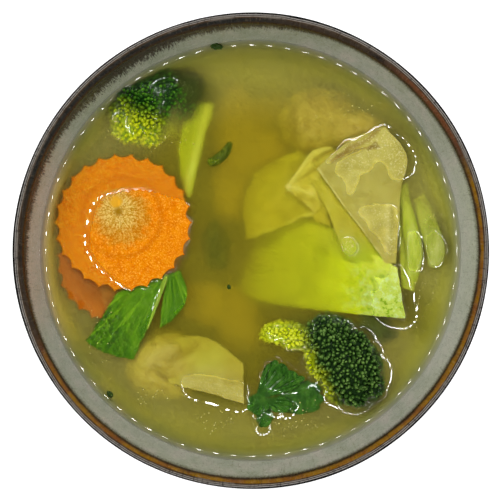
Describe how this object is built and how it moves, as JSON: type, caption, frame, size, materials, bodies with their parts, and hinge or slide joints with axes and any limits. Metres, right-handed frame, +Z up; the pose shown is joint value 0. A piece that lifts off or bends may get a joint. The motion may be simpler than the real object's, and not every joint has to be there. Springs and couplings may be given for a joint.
{
  "type": "bowl of wonton soup",
  "caption": "Round stoneware bowl on a foot ring, filled with clear broth, wontons, a crinkle-cut carrot slice, broccoli, cabbage and green leaves that break its surface.",
  "frame": {"origin": "centre of the underside of the bowl's foot ring", "axes": "+Z up out of the bowl, +X to the right and +Y away from the eater as the soup is seen from above, which is the picture's right and top"},
  "size_m": [0.16, 0.16, 0.064],
  "materials": {
    "bowl": "gloss reactive glaze",
    "broth": "clear liquid",
    "carrot": "wet",
    "broccoli": "wet, rough with buds",
    "wonton": "wet, slightly see-through",
    "cabbage": "wet",
    "stalk": "wet",
    "leaf": "wet",
    "herb": "wet"
  },
  "bodies": {
    "root": {"bowl": "bowl", "broth": "broth", "carrot_slice": "carrot", "broccoli_big": "broccoli", "broccoli_small": "broccoli", "wonton_far": "wonton", "wonton_near": "wonton", "cabbage_leaf": "cabbage", "stalk_inner": "stalk", "stalk_outer": "stalk", "leaf_broad": "leaf", "leaf_narrow": "leaf", "herb_leaf": "herb", "onion_curl": "herb"}
  },
  "joints": []
}
